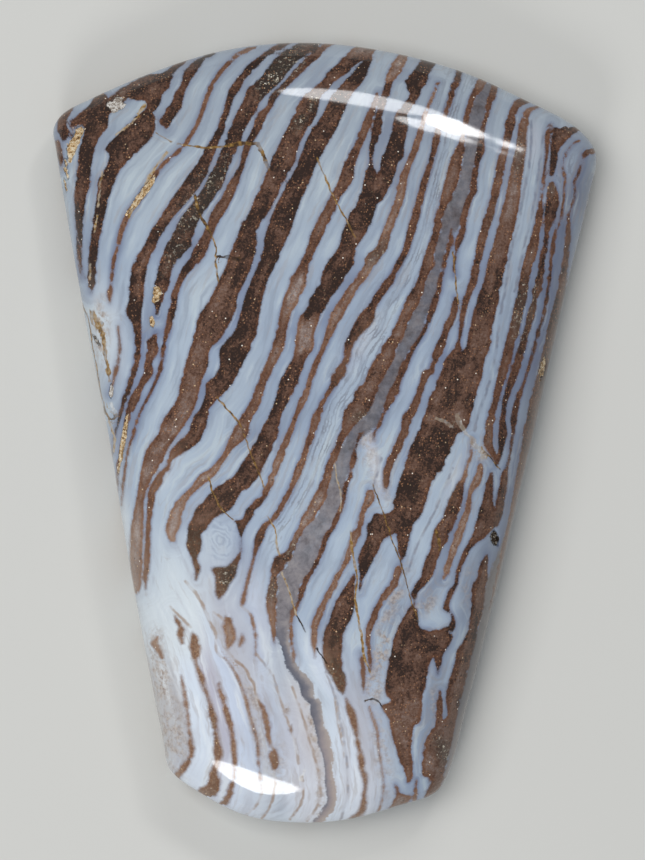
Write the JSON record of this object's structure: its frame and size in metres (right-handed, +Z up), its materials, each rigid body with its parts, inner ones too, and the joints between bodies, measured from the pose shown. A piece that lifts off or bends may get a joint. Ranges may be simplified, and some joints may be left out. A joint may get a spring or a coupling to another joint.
{
  "type": "agate cabochon",
  "caption": "Free-form agate cabochon with a low polished dome, a short wall and a flat lapped back, banded brown, white and grey-blue.",
  "frame": {"origin": "on the flat back, under the middle of the stone's bounding box", "axes": "+Z up through the top of the dome, +Y along the stone towards its broad end, +X to the right seen from above"},
  "size_m": [0.0324, 0.0466, 0.0075],
  "materials": {
    "stone": "polished dome and wall, satin lapped back; brown, white, grey-blue and lilac bands, with open pits lined by fine golden crystals"
  },
  "bodies": {
    "root": {"cabochon": "stone"}
  },
  "joints": []
}
